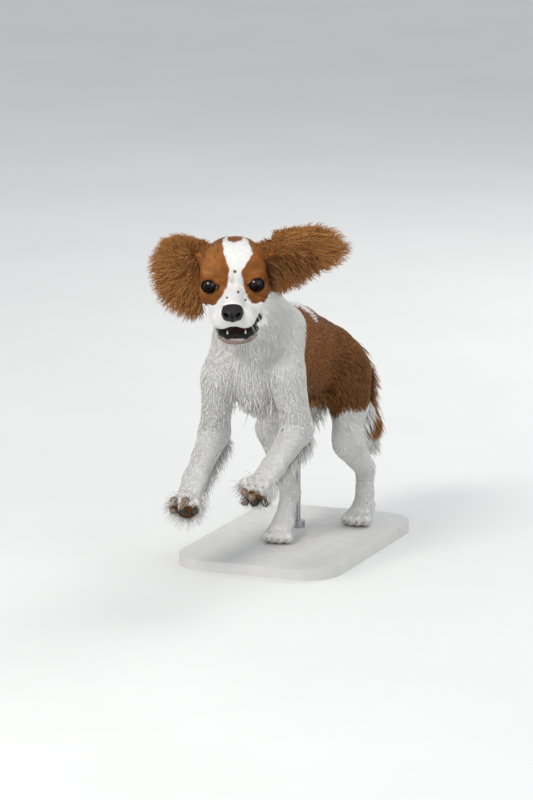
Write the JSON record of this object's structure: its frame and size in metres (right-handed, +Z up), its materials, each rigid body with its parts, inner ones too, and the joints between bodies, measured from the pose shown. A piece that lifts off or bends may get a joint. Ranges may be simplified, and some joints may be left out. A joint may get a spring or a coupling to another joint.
{
  "type": "cavalier king charles spaniel model",
  "caption": "Life-size still model of a young chestnut and white spaniel bounding with its ears flung out, on a display stand.",
  "frame": {"origin": "centre of the display base's flat underside", "axes": "+Z up; the dog's nose points roughly to -Y and its left side is +X"},
  "size_m": [0.243, 0.4523, 0.4514],
  "materials": {
    "coat_white": "soft white fur",
    "coat_chestnut": "silky wavy chestnut fur",
    "nose_leather": "moist pebbled black",
    "eye_dark": "glossy near-black brown",
    "tongue": "moist pink",
    "stand_paint": "painted matte pale grey",
    "stand_steel": "brushed"
  },
  "bodies": {
    "root": {"torso": "coat_white", "neck": "coat_white", "head": "coat_white", "jaw": "coat_white", "tongue": "tongue", "nose": "nose_leather", "eye_left": "eye_dark", "eye_right": "eye_dark", "ear_left": "coat_chestnut", "ear_right": "coat_chestnut", "upper_foreleg_left": "coat_white", "upper_foreleg_right": "coat_white", "forearm_left": "coat_white", "forearm_right": "coat_white", "forepaw_left": "coat_white", "forepaw_right": "coat_white", "thigh_left": "coat_white", "thigh_right": "coat_white", "shank_left": "coat_white", "shank_right": "coat_white", "hind_foot_left": "coat_white", "hind_foot_right": "coat_white", "tail": "coat_chestnut", "stand_base": "stand_paint", "stand_collar": "stand_steel", "stand_rod": "stand_steel"}
  },
  "joints": []
}
